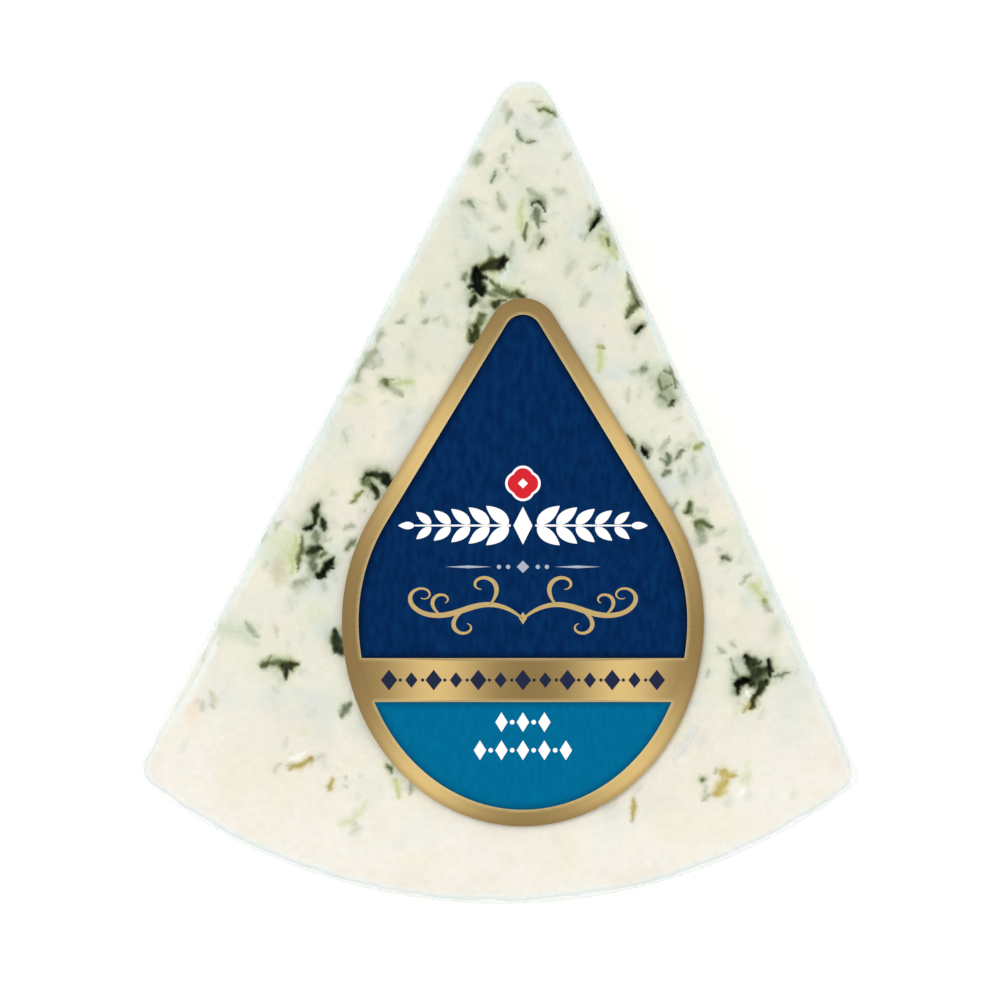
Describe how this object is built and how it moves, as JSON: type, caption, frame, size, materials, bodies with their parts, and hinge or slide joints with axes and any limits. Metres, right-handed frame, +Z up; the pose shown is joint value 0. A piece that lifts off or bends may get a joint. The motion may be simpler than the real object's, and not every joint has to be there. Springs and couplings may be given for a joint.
{
  "type": "gorgonzola wedge",
  "caption": "Blunt-tipped wedge of blue-veined cheese with pitted cut faces and a curved rind side, lying flat, with a drop-shaped label on its upper face.",
  "frame": {"origin": "middle of the wedge's underside", "axes": "+Y from the rind side towards the tip, +Z up through the veined face that carries the label"},
  "size_m": [0.0872, 0.1, 0.0354],
  "materials": {
    "veined_paste": "moist ivory paste with blue-green mould veins",
    "label_print": "satin gold foil frame and band round navy and teal fields",
    "clear_film": "tight clear wrapping film"
  },
  "bodies": {
    "root": {"cheese_wedge": "veined_paste", "label": "label_print"}
  },
  "joints": []
}
